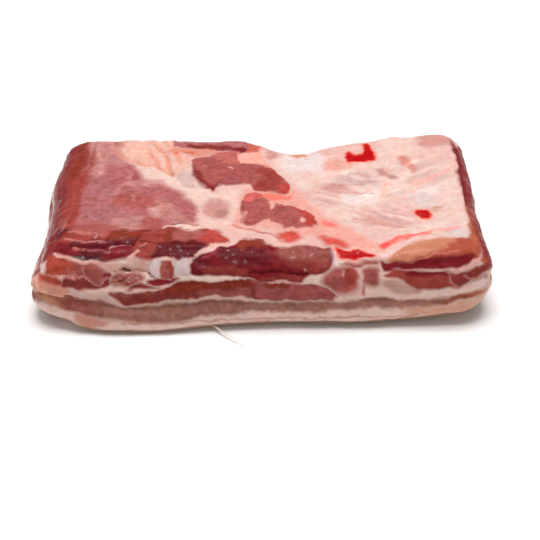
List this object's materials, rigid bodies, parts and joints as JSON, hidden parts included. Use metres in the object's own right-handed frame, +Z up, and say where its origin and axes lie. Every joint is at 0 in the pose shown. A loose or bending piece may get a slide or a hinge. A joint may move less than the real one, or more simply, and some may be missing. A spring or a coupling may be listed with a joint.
{
  "type": "pork belly slab",
  "caption": "Raw boned slab of pork belly lying on its rind, with cut walls that show its layers of lean and fat.",
  "frame": {"origin": "middle of the underside, under the middle of the slab", "axes": "+X along the slab's length, towards the thicker corner; +Y away from the front wall; +Z up from the rind to the rib side"},
  "size_m": [0.3222, 0.1856, 0.0583],
  "materials": {
    "meat": "wet raw meat and fat"
  },
  "bodies": {
    "root": {"pork_belly_slab": "meat"}
  },
  "joints": []
}
